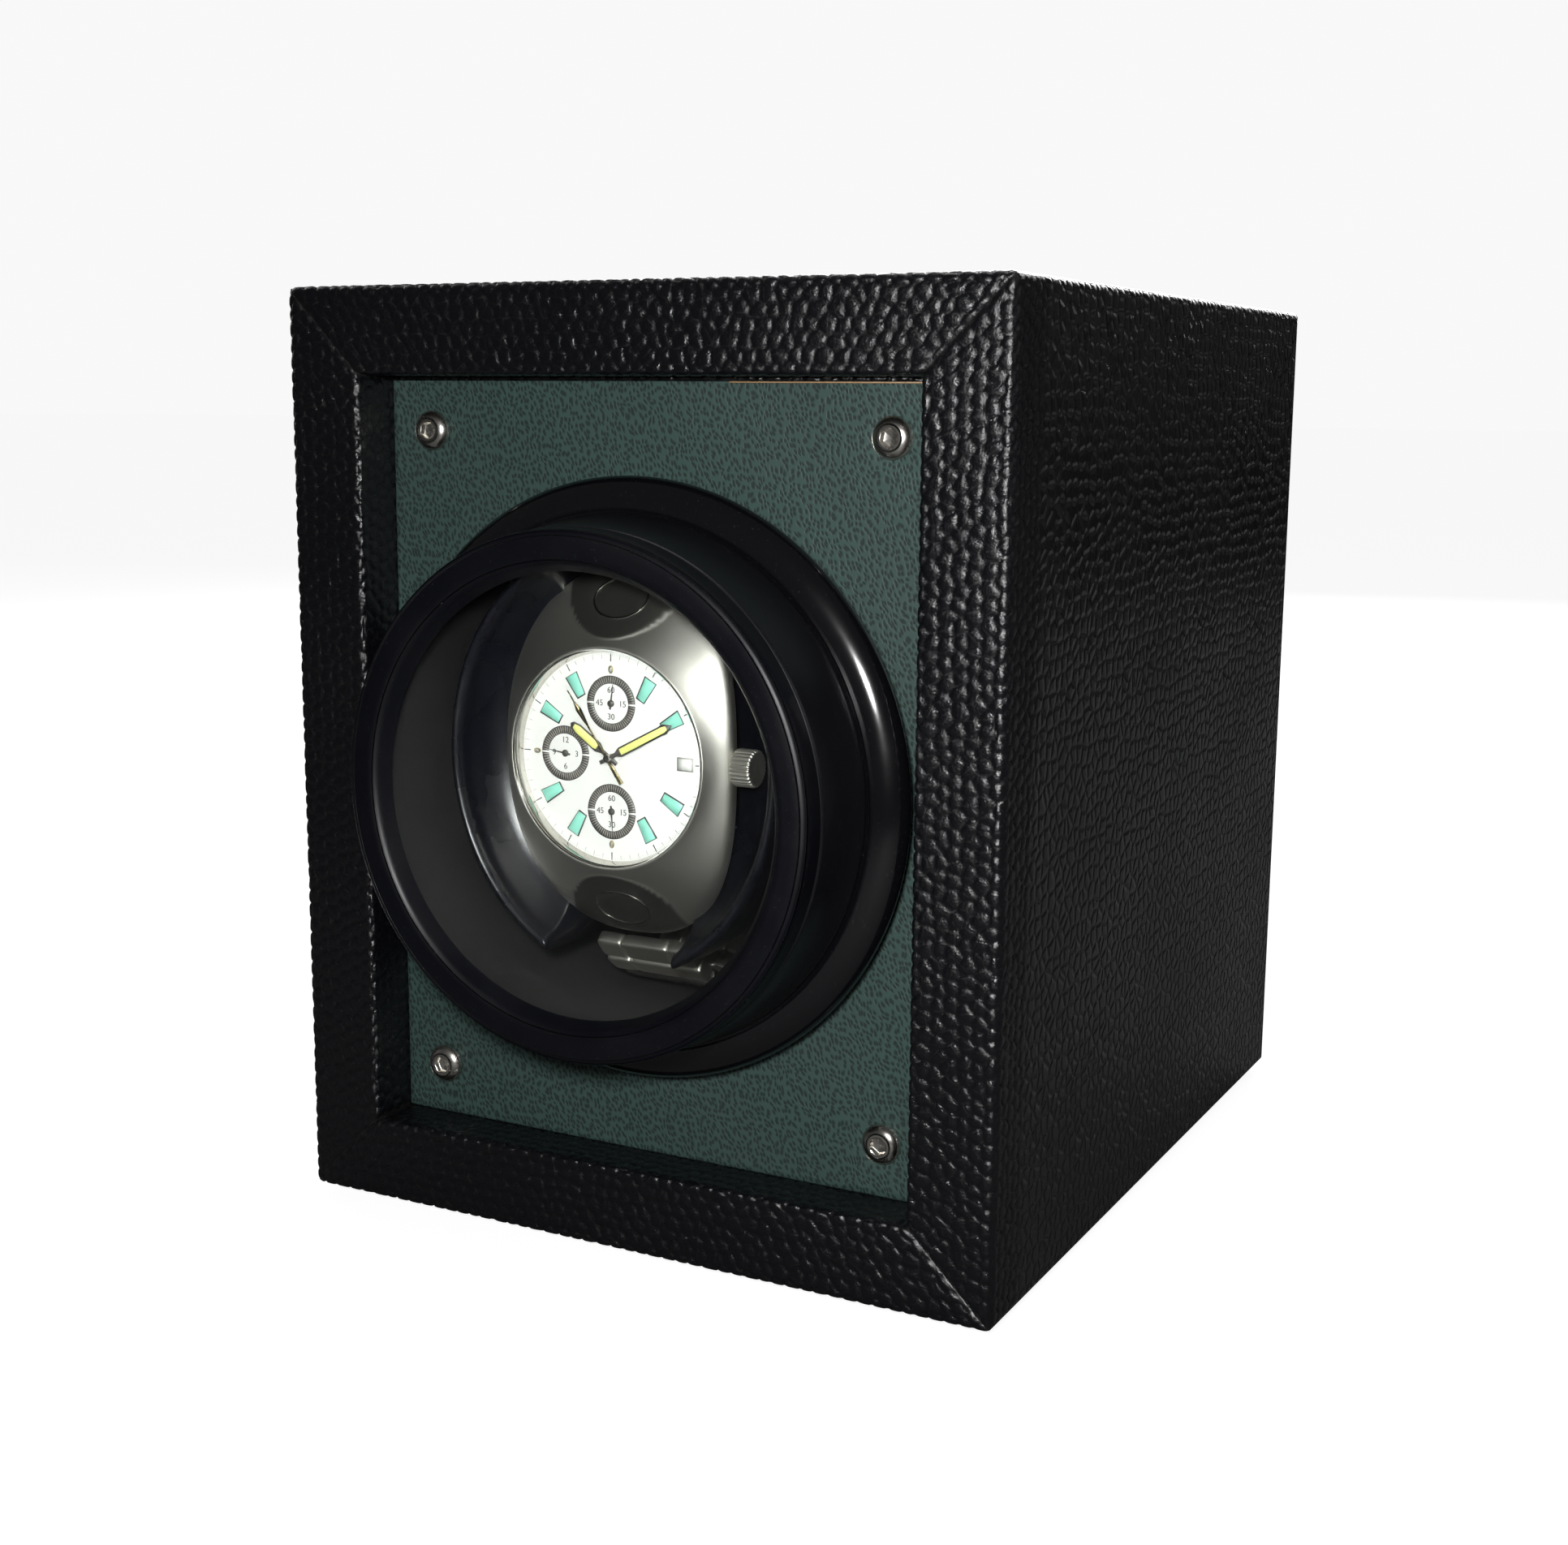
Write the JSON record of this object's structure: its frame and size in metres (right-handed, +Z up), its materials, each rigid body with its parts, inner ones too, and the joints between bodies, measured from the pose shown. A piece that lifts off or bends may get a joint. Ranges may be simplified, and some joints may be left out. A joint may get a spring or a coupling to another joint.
{
  "type": "watch winder box",
  "caption": "Leatherette box whose motor turns a round, windowed cup that holds a wristwatch on a cuff; battery door, selector, switch and DC inlet at the back.",
  "frame": {"origin": "bottom centre of the bounding box: on the floor between the feet, midway between the ring at the front and the case's back edge", "axes": "+Z up, the window faces -Y, +X to the right seen from the front"},
  "size_m": [0.127, 0.166, 0.1545],
  "materials": {
    "leatherette": "black pebble-grain leatherette wrapped over board",
    "rubber": "matte moulded rubber",
    "green_leather": "dark green fine-dimpled leather over board",
    "stainless": "bright stainless, hexagon socket",
    "wood": "sawn softwood",
    "aluminium": "milled aluminium",
    "bronze": "sintered bronze",
    "steel": "plain steel",
    "nylon": "natural nylon",
    "satin_black": "textured black plastic",
    "cap_black": "satin black plastic",
    "gloss_black": "polished black plastic",
    "ring_rubber": "soft matte blue-black rubber",
    "clear": "clear polished",
    "cuff": "soft-touch blue-black",
    "cell": null,
    "circuit": "green solder mask",
    "watch_metal": "satin titanium grey",
    "dial": "white enamel",
    "lume": "pale yellow-green luminous paint",
    "hand_metal": "dark blackened steel"
  },
  "bodies": {
    "case": {"top_board": "leatherette", "bottom_board": "leatherette", "left_board": "leatherette", "right_board": "leatherette", "back_panel": "leatherette", "foot_front_left": "rubber", "foot_front_right": "rubber", "foot_back_left": "rubber", "foot_back_right": "rubber", "fascia_panel": "green_leather", "fascia_screw_top_left": "stainless", "fascia_screw_top_right": "stainless", "fascia_screw_bottom_left": "stainless", "fascia_screw_bottom_right": "stainless", "panel_screw_lower_left": "stainless", "panel_screw_lower_right": "stainless", "panel_screw_upper_left": "stainless", "panel_screw_upper_right": "stainless", "corner_block_top_left": "wood", "corner_block_top_right": "wood", "corner_block_bottom_left": "wood", "corner_block_bottom_right": "wood", "drive_plate": "aluminium", "bearing_housing": "aluminium", "bush_front": "bronze", "bush_rear": "bronze", "gear_motor": "steel", "motor_screw_left": "steel", "motor_screw_right": "steel", "selector_switch": "steel", "battery_spring_lower": "steel", "battery_spring_upper": "steel", "battery_contact": "steel", "battery_tray": "satin_black", "rocker_frame": "satin_black", "dc_inlet": "satin_black", "battery_cell_lower": "cell", "battery_cell_upper": "cell", "control_board": "circuit"},
    "rotor": {"rotor_cup": "gloss_black", "drive_gear": "nylon", "spindle": "steel", "spindle_clip": "steel", "watch_cuff": "cuff", "watch_case": "watch_metal", "watch_dial": "dial", "watch_crystal": "clear", "watch_bracelet": "watch_metal"},
    "pinion": {"motor_shaft": "steel", "motor_pinion": "bronze"},
    "cap": {"cap_barrel": "cap_black", "cap_ring": "ring_rubber", "cap_window": "clear"},
    "crown": {"watch_crown": "watch_metal"},
    "minute_hand": {"watch_minute_hand": "lume"},
    "hour_hand": {"watch_hour_hand": "lume"},
    "stopwatch_hand": {"watch_stopwatch_hand": "hand_metal"},
    "door": {"battery_door": "satin_black"},
    "rocker": {"rocker": "gloss_black"},
    "knob": {"selector_knob": "satin_black"}
  },
  "joints": [
    {"name": "rotor_spin", "type": "hinge", "parent": "case", "child": "rotor", "pos_m": [0, -0.037, 0.078], "axis": [0, 1, 0], "continuous": true},
    {"name": "pinion_spin", "type": "hinge", "parent": "case", "child": "pinion", "pos_m": [0, -0.011, 0.1035], "axis": [0, 1, 0], "continuous": true},
    {"name": "cap_pull", "type": "slide", "parent": "rotor", "child": "cap", "axis": [0, -1, 0], "range_m": [0, 0.02]},
    {"name": "crown_turn", "type": "hinge", "parent": "rotor", "child": "crown", "pos_m": [0.0209, -0.067, 0.0828], "axis": [1, 0, 0], "continuous": true},
    {"name": "minute_hand_turn", "type": "hinge", "parent": "rotor", "child": "minute_hand", "pos_m": [0, -0.0699, 0.0828], "axis": [0, 1, 0], "continuous": true},
    {"name": "hour_hand_turn", "type": "hinge", "parent": "rotor", "child": "hour_hand", "pos_m": [0, -0.0695, 0.0828], "axis": [0, 1, 0], "continuous": true},
    {"name": "stopwatch_hand_turn", "type": "hinge", "parent": "rotor", "child": "stopwatch_hand", "pos_m": [0, -0.0703, 0.0828], "axis": [0, 1, 0], "continuous": true},
    {"name": "door_hinge", "type": "hinge", "parent": "case", "child": "door", "pos_m": [0, 0.0695, 0.0254], "axis": [-1, 0, 0], "range_deg": [0, 100]},
    {"name": "rocker_tilt", "type": "hinge", "parent": "case", "child": "rocker", "pos_m": [-0.028, 0.0676, 0.1175], "axis": [0, 0, 1], "range_deg": [-14, 0]},
    {"name": "knob_turn", "type": "hinge", "parent": "case", "child": "knob", "pos_m": [0, 0.071, 0.1175], "axis": [0, 1, 0], "range_deg": [-120, 120]}
  ],
  "couplings": [
    {"joint": "pinion_spin", "follows": "rotor_spin", "ratio": -2.4},
    {"joint": "hour_hand_turn", "follows": "minute_hand_turn", "ratio": 0.083333}
  ]
}
